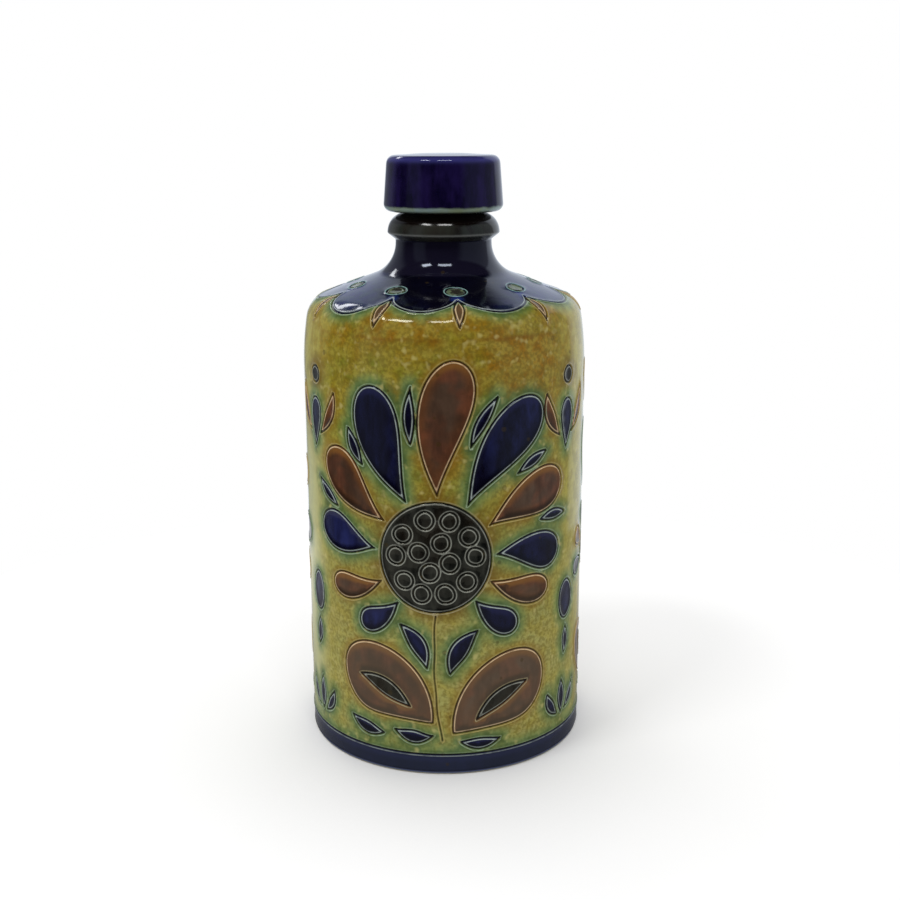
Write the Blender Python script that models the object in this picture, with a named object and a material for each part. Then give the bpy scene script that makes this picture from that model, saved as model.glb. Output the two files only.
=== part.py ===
"""Stoneware flask with a corked ceramic stopper, as three pieces: the pot, the stopper's cap and its cork.

The pot is one hollow turned form: foot ring, straight wall, sloping shoulder, short neck and a rolled lip.
A cork is glued into the underside of the cap, and its tapered end wedges in the pot's mouth.
Metres, +Z up. The origin is where the pot's centre line meets the table.
"""

import math

import bmesh
import bpy
from mathutils import Vector

# Outside of the pot, from the table up
BODY_RADIUS = 0.0480
WALL_HEIGHT = 0.1380
WALL_BEND = 0.1000
SHOULDER_RISE = 0.01425
SHOULDER_INSET = 0.0023
SHOULDER_ROUND = 0.0089
SHOULDER_SLOPE = math.radians(20.6)
BORDER_INSET = 0.0081
NECK_SWEEP = 0.0113
NECK_HEIGHT = 0.0088
LIP_OVERHANG = 0.0027
LIP_UNDERCUT = 0.0021
LIP_HEIGHT = 0.0067
LIP_LEAN = 0.0008
LIP_ROUND = 0.0064
LIP_EDGE_ROUND = 0.0007
UNDERCUT_ROUND = 0.0008

# Foot: a bare ring left where the glaze was wiped off, and the turned line that tops the blue band
FOOT_BARE_HEIGHT = 0.0013
FOOT_BARE_INSET = 0.0004
FOOT_RING_WIDTH = 0.0080
FOOT_RECESS = 0.0012
FOOT_EDGE_ROUND = 0.0006
BAND_HEIGHT = 0.0074
BAND_LINE_WIDTH = 0.0010
BAND_LINE_DEPTH = 0.0004

# Inside of the pot
WALL_THICKNESS = 0.0050
NECK_WALL = 0.0056
FLOOR_THICKNESS = 0.0060
FLOOR_CORNER_ROUND = 0.0090
BORE_CORNER_ROUND = 0.0030
MOUTH_ROUND = 0.0008

# Cork, which tapers only where it enters the mouth
CORK_RADIUS = 0.0102
CORK_TIP_RADIUS = 0.0096
CORK_IN_MOUTH = 0.0160
CORK_IN_CAP = 0.0080
CORK_CHAMFER = 0.0010

# Cap of the stopper, which overhangs the pot's lip
CAP_OVERHANG = 0.0013
CAP_LEAN = 0.0014
CAP_CROWN = 0.0098
CAP_DOME = 0.0006
CAP_DOME_WIDTH = 0.80
CAP_TOP_ROUND = 0.0028
CAP_BOTTOM_ROUND = 0.0024
CAP_SOCKET_CHAMFER = 0.0006

# Cork to mouth, cork to socket, and cap to lip
CLEARANCE = 0.0003

# Facets round the centre line, the most that a chord stands off its arc, and the rings of the cap's dome
SEGMENTS = 60
ARC_SAG = 0.00006
DOME_RINGS = 3
SHARP_ANGLE = math.radians(50)

# Radii and heights that follow from the sizes above
MOUTH_RADIUS = CORK_RADIUS + CLEARANCE
NECK_RADIUS = MOUTH_RADIUS + NECK_WALL
LIP_RADIUS = NECK_RADIUS + LIP_OVERHANG
SHOULDER_RADIUS = BODY_RADIUS - SHOULDER_INSET
SHOULDER_HEIGHT = WALL_HEIGHT + SHOULDER_RISE
NECK_FOOT = SHOULDER_HEIGHT + (SHOULDER_RADIUS - NECK_RADIUS) * math.tan(SHOULDER_SLOPE)
LIP_UNDERSIDE = NECK_FOOT + NECK_HEIGHT
LIP_EDGE = LIP_UNDERSIDE + LIP_UNDERCUT
LIP_TOP = LIP_EDGE + LIP_HEIGHT
FLOOR_HEIGHT = FOOT_RECESS + FLOOR_THICKNESS
CORK_TAPER = (CORK_RADIUS - CORK_TIP_RADIUS) / CORK_IN_MOUTH
CAP_RADIUS = LIP_RADIUS + CAP_OVERHANG
SOCKET_RADIUS = CORK_RADIUS + CLEARANCE
SOCKET_DEPTH = CORK_IN_CAP + CLEARANCE
CAP_HEIGHT = SOCKET_DEPTH + CAP_CROWN

# Linear colour and roughness of each surface; none is metallic
FINISHES = {
    "ochre_glaze": ((0.235, 0.190, 0.035, 1.0), 0.16),
    "cobalt_glaze": ((0.010, 0.010, 0.055, 1.0), 0.10),
    "olive_glaze": ((0.045, 0.050, 0.032, 1.0), 0.12),
    "sea_green_glaze": ((0.130, 0.180, 0.110, 1.0), 0.20),
    "bare_stoneware": ((0.520, 0.500, 0.460, 1.0), 0.75),
    "cork": ((0.480, 0.270, 0.130, 1.0), 0.85),
}


def clear_scene():
    for thing in list(bpy.data.objects):
        bpy.data.objects.remove(thing)


def finish_material(name):
    colour, roughness = FINISHES[name]
    material = bpy.data.materials.get(name) or bpy.data.materials.new(name)
    material.use_nodes = True
    shader = material.node_tree.nodes["Principled BSDF"]
    shader.inputs["Base Color"].default_value = colour
    shader.inputs["Roughness"].default_value = roughness
    shader.inputs["Metallic"].default_value = 0.0
    material.diffuse_color = colour
    return material


def left_of(start, end):
    """The unit vector on the left of the way from start to end: towards the centre line on the way up."""
    way = (Vector(end) - Vector(start)).normalized()
    return Vector((-way.y, way.x))


def mitred(before, corner, after, wall):
    """Where a corner lies on the parallel line that runs a wall's thickness to the left of its two stretches."""
    first = left_of(before, corner)
    middle = (first + left_of(corner, after)).normalized()
    return Vector(corner) + middle * (wall / middle.dot(first))


def fillet_reaches(corners):
    """How far each corner's fillet reaches along its stretches, narrowed where two fillets would cross."""
    places = [Vector(corner[:2]) for corner in corners]
    reaches = [0.0] * len(corners)
    for index in range(1, len(corners) - 1):
        turn = (places[index] - places[index - 1]).angle(places[index + 1] - places[index])
        reaches[index] = corners[index][2] * math.tan(turn / 2)
    shares = [1.0] * len(corners)
    for index in range(len(corners) - 1):
        room = 0.98 * (places[index + 1] - places[index]).length
        asked = reaches[index] + reaches[index + 1]
        if asked > room:
            shares[index] = min(shares[index], room / asked)
            shares[index + 1] = min(shares[index + 1], room / asked)
    return [reach * share for reach, share in zip(reaches, shares)]


def rounded(corners):
    """The (point, finish) pairs of a profile given as (radius, height, fillet, finish) corners.

    A finish covers what follows its corner, and the corner's own fillet.
    """
    profile = []
    for index, reach in enumerate(fillet_reaches(corners)):
        finish = corners[index][3]
        corner = Vector(corners[index][:2])
        if reach == 0:
            profile.append((corner, finish))
            continue
        back = (Vector(corners[index - 1][:2]) - corner).normalized()
        ahead = (Vector(corners[index + 1][:2]) - corner).normalized()
        turn = math.pi - back.angle(ahead)
        radius = reach / math.tan(turn / 2)
        centre = corner + (back + ahead).normalized() * (radius / math.cos(turn / 2))
        start = corner + back * reach - centre
        swing = math.copysign(turn, ahead.cross(back))
        chords = math.ceil(turn / (2 * math.acos(1 - min(ARC_SAG / radius, 0.5))))
        for chord in range(chords + 1):
            angle = swing * chord / chords
            x = start.x * math.cos(angle) - start.y * math.sin(angle)
            y = start.x * math.sin(angle) + start.y * math.cos(angle)
            profile.append((centre + Vector((x, y)), finish))
    return profile


def turned(name, corners):
    """A solid turned about the centre line from a profile whose corners start and end on it."""
    mesh = bpy.data.meshes.new(name)
    shape = bmesh.new()
    profile = rounded(corners)
    finishes = list(dict.fromkeys(finish for point, finish in profile))
    for (start, finish), (end, _) in zip(profile, profile[1:]):
        made = len(shape.faces)
        verts = [shape.verts.new((point.x, 0, point.y)) for point in (start, end)]
        edge = shape.edges.new(verts)
        bmesh.ops.spin(
            shape, geom=verts + [edge], cent=(0, 0, 0), axis=(0, 0, 1), angle=math.tau, steps=SEGMENTS,
        )
        shape.faces.ensure_lookup_table()
        for face in shape.faces[made:]:
            face.material_index = finishes.index(finish)
    bmesh.ops.remove_doubles(shape, verts=shape.verts, dist=1e-6)
    bmesh.ops.recalc_face_normals(shape, faces=shape.faces)
    shape.to_mesh(mesh)
    shape.free()
    for finish in finishes:
        mesh.materials.append(finish_material(finish))
    mesh.shade_smooth()
    mesh.set_sharp_from_angle(angle=SHARP_ANGLE)
    piece = bpy.data.objects.new(name, mesh)
    bpy.context.scene.collection.objects.link(piece)
    return piece


def pot_inside():
    """Corners from the floor's middle up the inner side to the mouth, one wall inside the outer ones."""
    bend = (BODY_RADIUS, WALL_HEIGHT)
    shoulder = (SHOULDER_RADIUS, SHOULDER_HEIGHT)
    inner_bend = mitred((BODY_RADIUS, 0), bend, shoulder, WALL_THICKNESS)
    inner_shoulder = mitred(bend, shoulder, (NECK_RADIUS, NECK_FOOT), WALL_THICKNESS)
    inner_round = max(SHOULDER_ROUND - WALL_THICKNESS, BORE_CORNER_ROUND)
    # The bore keeps the cork's taper from the mouth down to the underside of the shoulder.
    slope = math.tan(SHOULDER_SLOPE)
    drop = LIP_TOP - inner_shoulder.y - (inner_shoulder.x - MOUTH_RADIUS) * slope
    bore_length = drop / (1 + CORK_TAPER * slope)
    bore_foot = MOUTH_RADIUS - CORK_TAPER * bore_length
    return [
        (0, FLOOR_HEIGHT, 0, "bare_stoneware"),
        (BODY_RADIUS - WALL_THICKNESS, FLOOR_HEIGHT, FLOOR_CORNER_ROUND, "bare_stoneware"),
        (inner_bend.x, inner_bend.y, WALL_BEND, "bare_stoneware"),
        (inner_shoulder.x, inner_shoulder.y, inner_round, "bare_stoneware"),
        (bore_foot, LIP_TOP - bore_length, BORE_CORNER_ROUND, "bare_stoneware"),
        (MOUTH_RADIUS, LIP_TOP, MOUTH_ROUND, "olive_glaze"),
    ]


def pot_outside():
    """Corners from the lip's top down the outer side and under the foot to the centre line."""
    bare_radius = BODY_RADIUS - FOOT_BARE_INSET
    ring_radius = BODY_RADIUS - FOOT_RING_WIDTH
    border_radius = SHOULDER_RADIUS - BORDER_INSET
    border_height = SHOULDER_HEIGHT + BORDER_INSET * math.tan(SHOULDER_SLOPE)
    return [
        (LIP_RADIUS - LIP_LEAN, LIP_TOP, LIP_ROUND, "olive_glaze"),
        (LIP_RADIUS, LIP_EDGE, LIP_EDGE_ROUND, "olive_glaze"),
        (NECK_RADIUS, LIP_UNDERSIDE, UNDERCUT_ROUND, "cobalt_glaze"),
        (NECK_RADIUS, NECK_FOOT, NECK_SWEEP, "cobalt_glaze"),
        (border_radius, border_height, 0, "ochre_glaze"),
        (SHOULDER_RADIUS, SHOULDER_HEIGHT, SHOULDER_ROUND, "ochre_glaze"),
        (BODY_RADIUS, WALL_HEIGHT, WALL_BEND, "ochre_glaze"),
        (BODY_RADIUS, BAND_HEIGHT + BAND_LINE_WIDTH / 2, 0, "sea_green_glaze"),
        (BODY_RADIUS - BAND_LINE_DEPTH, BAND_HEIGHT, 0, "sea_green_glaze"),
        (BODY_RADIUS, BAND_HEIGHT - BAND_LINE_WIDTH / 2, 0, "cobalt_glaze"),
        (BODY_RADIUS, FOOT_BARE_HEIGHT, 0, "bare_stoneware"),
        (bare_radius, FOOT_BARE_HEIGHT, 0, "bare_stoneware"),
        (bare_radius, 0, FOOT_EDGE_ROUND, "bare_stoneware"),
        (ring_radius, 0, FOOT_EDGE_ROUND, "bare_stoneware"),
        (ring_radius, FOOT_RECESS, FOOT_EDGE_ROUND, "bare_stoneware"),
        (0, FOOT_RECESS, 0, "bare_stoneware"),
    ]


def build_pot():
    return turned("flask_body", pot_inside() + pot_outside())


def cap_dome():
    """Corners of the cap's slightly domed top, from the centre line outwards."""
    corners = []
    for ring in range(DOME_RINGS):
        share = CAP_DOME_WIDTH * ring / DOME_RINGS
        height = CAP_HEIGHT + CAP_DOME * (1 - share ** 2)
        corners.append(((CAP_RADIUS - CAP_LEAN) * share, height, 0, "cobalt_glaze"))
    return corners


def build_cap():
    """The cap, modelled from its underside up and seated a clearance above the lip."""
    corners = cap_dome() + [
        (CAP_RADIUS - CAP_LEAN, CAP_HEIGHT, CAP_TOP_ROUND, "cobalt_glaze"),
        (CAP_RADIUS, 0, CAP_BOTTOM_ROUND, "sea_green_glaze"),
        (SOCKET_RADIUS + CAP_SOCKET_CHAMFER, 0, 0, "bare_stoneware"),
        (SOCKET_RADIUS, CAP_SOCKET_CHAMFER, 0, "bare_stoneware"),
        (SOCKET_RADIUS, SOCKET_DEPTH, 0, "bare_stoneware"),
        (0, SOCKET_DEPTH, 0, "bare_stoneware"),
    ]
    cap = turned("stopper_cap", corners)
    cap.location.z = LIP_TOP + CLEARANCE
    return cap


def build_cork(cap):
    """The cork, modelled and placed from the cap's underside, straight in its socket and tapered below."""
    mouth = -CLEARANCE
    tip = mouth - CORK_IN_MOUTH
    corners = [
        (0, CORK_IN_CAP, 0, "cork"),
        (CORK_RADIUS - CORK_CHAMFER, CORK_IN_CAP, 0, "cork"),
        (CORK_RADIUS, CORK_IN_CAP - CORK_CHAMFER, 0, "cork"),
        (CORK_RADIUS, mouth, 0, "cork"),
        (CORK_TIP_RADIUS + CORK_TAPER * CORK_CHAMFER, tip + CORK_CHAMFER, 0, "cork"),
        (CORK_TIP_RADIUS - CORK_CHAMFER, tip, 0, "cork"),
        (0, tip, 0, "cork"),
    ]
    cork = turned("stopper_cork", corners)
    cork.parent = cap
    return cork


def main():
    clear_scene()
    build_pot()
    build_cork(build_cap())
    bpy.context.view_layer.update()


main()
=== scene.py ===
"""Looks of the pottery flask: a salt-glazed pot with cut and painted plants, its cobalt cap and its cork.

The sections follow the flask as it is put together: pot, cap, cork, then the studio it is photographed in.
Sections and the ornament's drawing are in millimetres, and meshes and materials are in metres.
"""

import math

import bpy
import numpy as np
from mathutils import Matrix, Vector
from mathutils.geometry import delaunay_2d_cdt
from mathutils.kdtree import KDTree


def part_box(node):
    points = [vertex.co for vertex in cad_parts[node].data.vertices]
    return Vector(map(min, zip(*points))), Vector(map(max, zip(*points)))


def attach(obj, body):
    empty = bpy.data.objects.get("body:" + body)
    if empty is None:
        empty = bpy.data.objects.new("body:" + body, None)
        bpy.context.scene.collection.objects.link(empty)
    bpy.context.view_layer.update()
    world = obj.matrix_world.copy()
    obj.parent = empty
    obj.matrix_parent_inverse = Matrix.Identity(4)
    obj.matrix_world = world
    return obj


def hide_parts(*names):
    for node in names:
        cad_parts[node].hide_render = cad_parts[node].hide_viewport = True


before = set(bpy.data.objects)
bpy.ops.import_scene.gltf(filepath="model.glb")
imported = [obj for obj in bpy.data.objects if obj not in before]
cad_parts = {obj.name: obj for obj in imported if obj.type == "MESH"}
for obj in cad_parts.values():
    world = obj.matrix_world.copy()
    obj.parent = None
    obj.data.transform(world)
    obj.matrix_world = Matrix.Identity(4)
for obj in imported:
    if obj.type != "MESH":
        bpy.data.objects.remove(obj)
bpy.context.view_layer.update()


# Pot: one hollow body of grey stoneware, thrown on the wheel and turned at its foot. Its ornament is cut
# into the leather-hard clay and filled with cobalt, brown, slate and olive slip. All of it is salt-glazed in
# one firing.

MM = 0.001
pot_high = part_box("flask_body")[1]
body_radius = pot_high.x / MM
lip_top = pot_high.z / MM

# The cut lines stand up on both sides, so the wall between them lies that much inside the widest radius
ridge_height = 0.22
wall = body_radius - ridge_height

# Corners of the pot's section in millimetres: radius, height and rounding, from under the foot outwards
pot_corners = (
    (0, 1.2, 0),
    (40, 1.2, 0.6),
    (40, 0, 0.6),
    (47.6, 0, 0.6),
    (47.6, 1.3, 0.25),
    (wall, 1.3, 0.25),
    (wall, 138, 100),
    (45.7, 152.25, 8.9),
    (16.1, 163.376, 11.3),
    (16.1, 172.176, 0.8),
    (18.8, 174.276, 0.7),
    (18.0, lip_top, 6.4),
    (10.5, lip_top, 0.8),
    (9.95, 166.2, 3.0),
    (10.5, 158.7, 3.0),
    (41.2, 148.3, 3.9),
    (43, 138.5, 40),
    (43, 7.2, 9),
    (0, 7.2, 0),
)


# How coarsely a rounded corner is divided
corner_step = 0.35


def section(corners):
    """The section of a turned piece, with its corners rounded, as points (radius, height)."""
    corners = np.array(corners, float)
    line = [corners[:1, :2]]
    for before, here, after in zip(corners, corners[1:], corners[2:]):
        back = before[:2] - here[:2]
        ahead = after[:2] - here[:2]
        back /= np.linalg.norm(back)
        ahead /= np.linalg.norm(ahead)
        turn = math.pi - math.acos(np.clip(back @ ahead, -1, 1))
        if here[2] == 0:
            line.append(here[None, :2])
            continue
        count = 2 + math.ceil(turn * math.sqrt(here[2]) / corner_step)
        half = np.linspace(-turn / 2, turn / 2, count)[:, None]
        inward = (back + ahead) / np.linalg.norm(back + ahead)
        along = (ahead - back) / np.linalg.norm(ahead - back)
        centre = here[:2] + inward * here[2] / math.cos(turn / 2)
        line.append(centre + here[2] * (along * np.sin(half) - inward * np.cos(half)))
    line.append(corners[-1:, :2])
    return np.concatenate(line)


def lengths(line):
    """How far each point of a line lies from its start."""
    return np.concatenate([[0], np.cumsum(np.linalg.norm(np.diff(line, axis=0), axis=1))])


pot_line = section(pot_corners)
pot_length = lengths(pot_line)


def length_at(index_corner, radius=None, height=None):
    """Length along the pot's section at a radius or a height, on the stretch that follows a corner."""
    near = np.argmin(np.linalg.norm(pot_line - pot_corners[index_corner][:2], axis=1))
    stretch = slice(near, near + 60)
    wanted = pot_line[stretch, 0] - radius if height is None else pot_line[stretch, 1] - height
    cross = near + np.nonzero(np.diff(np.sign(wanted)))[0][0]
    first, second = wanted[cross - near], wanted[cross - near + 1]
    return pot_length[cross] + (pot_length[cross + 1] - pot_length[cross]) * first / (first - second)


# The ornament is drawn on the unrolled pot: x runs round it from the front, y up it, in millimetres at the
# wall. On the narrowing shoulder y is stretched as x is, so every shape keeps its proportions there too.
ornament_low = 1.6
ornament_top_radius = 26.0
ornament_start = length_at(5, height=ornament_low)
ornament_end = length_at(7, radius=ornament_top_radius)
unrolled = np.linspace(ornament_start, ornament_end, 2400)
unrolled_radius = np.interp(unrolled, pot_length, pot_line[:, 0])
unrolled_height = np.interp(unrolled, pot_length, pot_line[:, 1])
steps = np.diff(unrolled) * body_radius * (1 / unrolled_radius[1:] + 1 / unrolled_radius[:-1]) / 2
unrolled_y = ornament_low + np.concatenate([[0], np.cumsum(steps)])


def y_at_radius(radius):
    """The drawing's y where the shoulder has a radius."""
    shoulder = unrolled_height > 147
    return np.interp(-radius, -unrolled_radius[shoulder], unrolled_y[shoulder])


hand = np.random.default_rng(20)
most_sway = 0.16
outlines = []


def cut(points, glaze=None, closed=True):
    """Keep one cut outline, a little uneven as a hand cuts it, with the slip that fills it."""
    points = np.asarray(points, float)
    size = min(np.ptp(points, axis=0).max() / 60, most_sway)
    round_it = np.arange(len(points)) / len(points) * 2 * math.pi
    for waves in (1, 2, 3):
        sway = hand.normal(0, size / waves, (1, 2))
        points = points + sway * np.sin(waves * round_it + hand.uniform(0, 6.28))[:, None]
    outlines.append((points, glaze, closed))


def bowed(root, tip, bow, share):
    """Points at shares of a bowed line from root to tip, and the direction to its left at each."""
    root = np.array(root, float)
    reach = np.array(tip, float) - root
    side = np.array([-reach[1], reach[0]])
    share = share[:, None]
    run = reach + side * bow * 4 * (1 - 2 * share)
    run /= np.linalg.norm(run, axis=1)[:, None]
    points = root + reach * share + side * bow * 4 * share * (1 - share)
    return points, np.stack([-run[:, 1], run[:, 0]], 1)


def petal(root, tip, width, glaze, bow=0.0, point=1.3):
    """A petal, pointed at its root and round at its tip."""
    turn = np.linspace(0, 2 * math.pi, 81)[:-1]
    half = np.sin(turn) * np.abs(np.sin(turn / 2)) ** point
    middle, side = bowed(root, tip, bow, (1 - np.cos(turn)) / 2)
    cut(middle + side * (half * width / 2 / half.max())[:, None], glaze)


def leaf(root, tip, width, glaze, bow=0.0):
    """A leaf, pointed at both ends."""
    share = (1 - np.cos(np.linspace(0, math.pi, 33))) / 2
    middle, side = bowed(root, tip, bow, share)
    half = (width / 2 * np.sin(math.pi * share))[:, None]
    cut(np.vstack([middle + side * half, (middle - side * half)[-2:0:-1]]), glaze)


def disc(centre, radius, glaze, tall=1.0):
    """A disc, a berry or an upright oval."""
    turn = np.linspace(0, 2 * math.pi, 73)[:-1]
    cut(np.array(centre) + radius * np.stack([np.cos(turn), tall * np.sin(turn)], 1), glaze)


def stem(root, tip, bow=0.0):
    """A single cut line."""
    cut(bowed(root, tip, bow, np.linspace(0, 1, 40))[0], closed=False)


def clock(centre, angle, radius):
    """The point at a clockwise angle in degrees from straight up."""
    angle = math.radians(angle)
    return (centre[0] + radius * math.sin(angle), centre[1] + radius * math.cos(angle))


def by_turns(k):
    """Cobalt and brown by turns."""
    return "brown" if k % 2 else "cobalt"


def sunflower(x):
    """A seeded head with a fan of long petals, over two broad ribbed leaves."""
    head = (x - 3, 76)
    disc(head, 18.5, "slate")
    for ring, count in ((5.4, 4), (13.1, 10)):
        for seed in range(count):
            angle = 20 + seed * 360 / count + hand.normal(0, 2.2)
            disc(clock(head, angle, ring + hand.normal(0, 0.3)), 2.9, "slate")
    widths = (13.0, 14.5, 16.0, 17.0, 16.0, 14.5, 13.0)
    for k, (reach, width) in enumerate(zip((45, 51, 59, 64, 61, 52, 46), widths)):
        angle = -85 + 29 * k
        petal(clock(head, angle, 20.4), clock(head, angle + 6, reach), width, by_turns(k), 0.07)
    for k in range(6):
        angle = -70.5 + 29 * k
        leaf(clock(head, angle + 1, 38), clock(head, angle + 5, 51 + 5 * (k in (2, 3))), 3.6, "cobalt", 0.04)
    petal(clock(head, 115, 20.2), clock(head, 108, 43), 9.6, "brown", -0.10)
    petal(clock(head, -116, 20.2), clock(head, -108, 41), 9.2, "brown", 0.10)
    petal(clock(head, 139, 20.2), clock(head, 131, 37), 9.0, "cobalt", -0.10)
    petal(clock(head, -142, 20.2), clock(head, -132, 36), 8.6, "cobalt", 0.10)
    stem((x - 3, 56.4), (x - 1, 12.5), -0.03)
    petal((x + 2.6, 15), (x + 36, 33), 25, "brown", 0.10, 0.8)
    leaf((x + 10.5, 19.5), (x + 29, 30.5), 5.6, "slate", 0.08)
    petal((x - 4.2, 18.4), (x - 37, 35), 24, "brown", -0.12, 0.8)
    leaf((x - 11.5, 24), (x - 30, 33), 5.4, "slate", -0.08)
    leaf((x + 1.6, 36), (x + 11, 51), 5.8, "cobalt", 0.10)
    leaf((x - 5.8, 38), (x - 15, 53), 5.4, "cobalt", -0.10)
    leaf((x - 4.2, 14.0), (x - 17, 15.5), 4.4, "cobalt", 0.10)
    leaf((x + 5, 12.0), (x + 19, 11.8), 3.8, "cobalt", -0.08)
    leaf((x - 21, 13.2), (x - 34, 17), 4.4, "cobalt", 0.08)


def tulip(x):
    """Three cupped petals and two side buds on a bowed stem."""
    cup = (x + 1, 80)
    petal(cup, (x + 1, 116), 17, "brown", 0, 0.8)
    petal((x + 3.6, 80), (x + 26, 112), 14, "cobalt", -0.13)
    petal((x - 1.6, 80), (x - 24, 112), 14, "cobalt", 0.13)
    leaf((x + 13.5, 113), (x + 14.5, 131), 5, "cobalt", -0.05)
    leaf((x - 11.5, 113), (x - 12.5, 131), 5, "cobalt", 0.05)
    leaf((x + 1, 119), (x + 1, 139), 6, "cobalt")
    petal((x + 21, 117), (x + 27, 133), 6, "brown", -0.05)
    petal((x - 19, 117), (x - 25, 133), 6, "brown", 0.05)
    stem((x + 1, 78.8), (x - 1, 12.5), 0.05)
    for side, bud in ((1, (x + 24, 68)), (-1, (x - 22, 66))):
        stem((x + 1 + 3.4 * side, 47), (bud[0] - 3.0 * side, bud[1] - 5.6), -0.14 * side)
        disc(bud, 6.0, "slate")
        disc(bud, 2.8, "slate")
        for k in range(5):
            angle = 15 * side - 90 + 45 * k
            petal(clock(bud, angle, 7.4), clock(bud, angle, 17), 6.2, by_turns(k))
    petal((x + 2.6, 15), (x + 33, 40), 17, "brown", -0.13, 0.9)
    leaf((x + 13.5, 20.5), (x + 28, 35), 4.6, "slate", -0.10)
    petal((x - 4.4, 18), (x - 32, 40), 16, "brown", 0.14, 0.9)
    leaf((x - 14, 22.5), (x - 27, 35), 4.6, "slate", 0.10)
    leaf((x + 3, 29), (x + 11, 45), 5, "cobalt", -0.08)
    leaf((x - 5.2, 31), (x - 14, 48), 5.4, "cobalt", 0.08)
    leaf((x + 22, 11.6), (x + 38, 17), 4.6, "cobalt", 0.12)
    leaf((x - 10, 12.0), (x - 24, 14), 4.2, "cobalt", -0.10)


def pomegranate(x):
    """A round fruit with a window of seeds, under a crown and over paired leaves."""
    fruit = (x, 82)
    disc(fruit, 19, "brown", 0.97)
    leaf((x, 66), (x, 98), 19, "slate")
    for height, seats in ((74.4, (0,)), (80.0, (-3.4, 3.4)), (85.8, (-3.4, 3.4)), (91.2, (0,))):
        for seat in seats:
            disc((x + seat, height), 2.1, "slate")
    for k, angle in enumerate((-56, -28, 0, 28, 56)):
        reach = 41 - 4 * abs(k - 2)
        petal(clock((x, 98), angle, 5.6), clock((x, 98), angle, reach), 9.6, by_turns(k))
    for side in (1, -1):
        petal(clock(fruit, 84 * side, 21), clock(fruit, 70 * side, 42), 10, "brown", 0.10 * side)
        petal(clock(fruit, 108 * side, 21), clock(fruit, 99 * side, 43), 9.6, "cobalt", -0.06 * side)
        petal(clock(fruit, 134 * side, 21), clock(fruit, 122 * side, 44), 9.4, "brown", -0.10 * side)
        leaf((x + 2.4 * side, 41), (x + 21 * side, 52), 6.4, "cobalt", 0.10 * side)
        petal((x + 3.4 * side, 14), (x + 33 * side, 34), 17, "brown", 0.10 * side, 0.9)
        leaf((x + 13 * side, 19.5), (x + 28 * side, 30.5), 4.6, "slate", 0.08 * side)
        leaf((x + 20 * side, 12.0), (x + 35 * side, 15.0), 4.0, "cobalt", 0.04 * side)
    leaf((x, 14), (x, 38), 7.6, "cobalt")
    stem((x, 62.2), (x, 40), 0.03)


def sprigs():
    """Small leaves and berries that fill the ground between the plants."""
    for x, y in ((-53, 56), (49, 54), (146, 60)):
        disc((x, y), 4.6, "cobalt", 1.5)
        leaf((x, y - 9.5), (x - 1, y - 20), 4.2, "cobalt", 0.05)
    for x in (-52, 47, 145.5):
        leaf((x, 12.4), (x, 25), 4.6, "cobalt")
        leaf((x - 2.4, 13), (x - 8.4, 22), 4.0, "cobalt", 0.10)
        leaf((x + 2.4, 13), (x + 8.4, 22), 4.0, "cobalt", -0.10)
        petal((x, 107), (x + 1, 124), 7.4, "cobalt")
        leaf((x - 3.2, 112), (x - 11, 127), 4.6, "brown", 0.10)
        leaf((x + 3.6, 112), (x + 12, 127), 4.6, "brown", -0.10)
        disc((x + 1, 131.5), 2.8, "slate")


# Border of the shoulder: ten hanging scallops of cobalt that meet in points. The points' bearings are in
# degrees from the front, and each has a ring over it, to one side, and a drop under it.
scallop_points = np.radians((-66.0, -27.0, 7.0, 46.0, 85.0, 119.0, 154.0, 189.0, 224.0, 259.0)) * body_radius
ring_shifts = np.radians((-3.0, -2.5, 0.0, 3.5, 2.0, -2.0, 1.5, 0.0, -2.5, 2.0)) * body_radius
scallop_low_radii = (44.5, 42.6, 43.0, 42.7, 43.6, 42.5, 43.9, 42.8, 43.3, 42.4)
scallop_top = y_at_radius(35.3)
scallop_depths = np.array([scallop_top - y_at_radius(radius) for radius in scallop_low_radii])
whole = 2 * math.pi * body_radius


def scallop_edge(x):
    """The border's lower edge at any x of the drawing."""
    x = np.mod(x - scallop_points[0], whole) + scallop_points[0]
    ends = np.append(scallop_points, scallop_points[0] + whole)
    place = np.clip(np.searchsorted(ends, x, side="right") - 1, 0, len(scallop_points) - 1)
    across = 2 * (x - ends[place]) / (ends[place + 1] - ends[place]) - 1
    return scallop_top - scallop_depths[place] * np.maximum(1 - across**2, 0) ** 0.72


round_pot = np.linspace(0, whole, 3001)[:-1]
outlines.append((np.stack([round_pot, scallop_edge(round_pot)], 1), None, True))
for x, shift in zip(scallop_points, ring_shifts):
    disc((x + shift, y_at_radius(30.4)), 5.0, "olive", 0.78)
    leaf((x, y_at_radius(35.9)), (x + hand.normal(0, 0.6), 149.6 + hand.normal(0, 0.5)), 3.9, "brown")

# Band of the foot: cobalt under one turned line
band_height = 7.4
outlines.append((np.stack([round_pot, np.full_like(round_pot, band_height)], 1), None, True))
border_edges = (0, len(outlines) - 1)

sunflower(0)
tulip(94)
pomegranate(-103)
sprigs()


def on_pot(points):
    """Where points of the drawing lie on the pot: angle from the front, length on the section, and place."""
    angle = points[:, 0] / body_radius
    length = np.interp(points[:, 1], unrolled_y, unrolled)
    radius = np.interp(length, pot_length, pot_line[:, 0])
    height = np.interp(length, pot_length, pot_line[:, 1])
    return angle, length, np.stack([radius * np.sin(angle), -radius * np.cos(angle), height], 1)


def stretched(points):
    """How much larger the drawing is than the pot at these points."""
    return body_radius / np.interp(points[:, 1], unrolled_y, unrolled_radius)


def ringed(points, closed):
    """The outline with its first point again at the end, a whole turn on if it runs round the pot."""
    if not closed:
        return points
    first = points[:1] + (whole * round((points[-1, 0] - points[0, 0]) / whole), 0)
    return np.vstack([points, first])


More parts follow.
